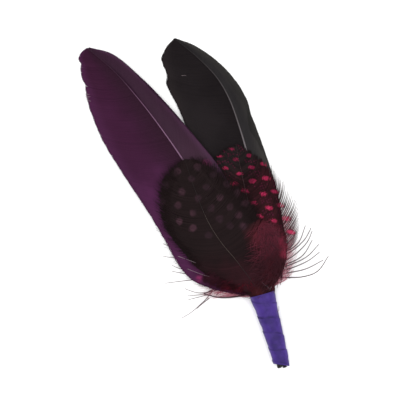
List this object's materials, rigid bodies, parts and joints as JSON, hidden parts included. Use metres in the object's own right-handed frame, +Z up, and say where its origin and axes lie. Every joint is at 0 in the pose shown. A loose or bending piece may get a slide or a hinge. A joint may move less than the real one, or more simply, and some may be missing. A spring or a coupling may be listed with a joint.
{
  "type": "dyed feather spray",
  "caption": "Flat spray of dyed feathers: two long wing quills behind two spotted plumage feathers, bound at the stem with wrapped tape.",
  "frame": {"origin": "middle of the flat underside of the wrapped stem, on the surface the spray lies on", "axes": "+Z up from the surface, +Y along the spray from the stem to the feather tips, +X towards the black feather's side"},
  "size_m": [0.0611, 0.1399, 0.0087],
  "materials": {
    "purple_feather": "satin",
    "black_feather": "satin",
    "pink_spotted_feather": "satin",
    "dark_spotted_feather": "satin",
    "stem_tape": "satin"
  },
  "bodies": {
    "root": {"purple_feather": "purple_feather", "black_feather": "black_feather", "pink_spotted_feather": "pink_spotted_feather", "dark_spotted_feather": "dark_spotted_feather", "stem_tape": "stem_tape"}
  },
  "joints": []
}
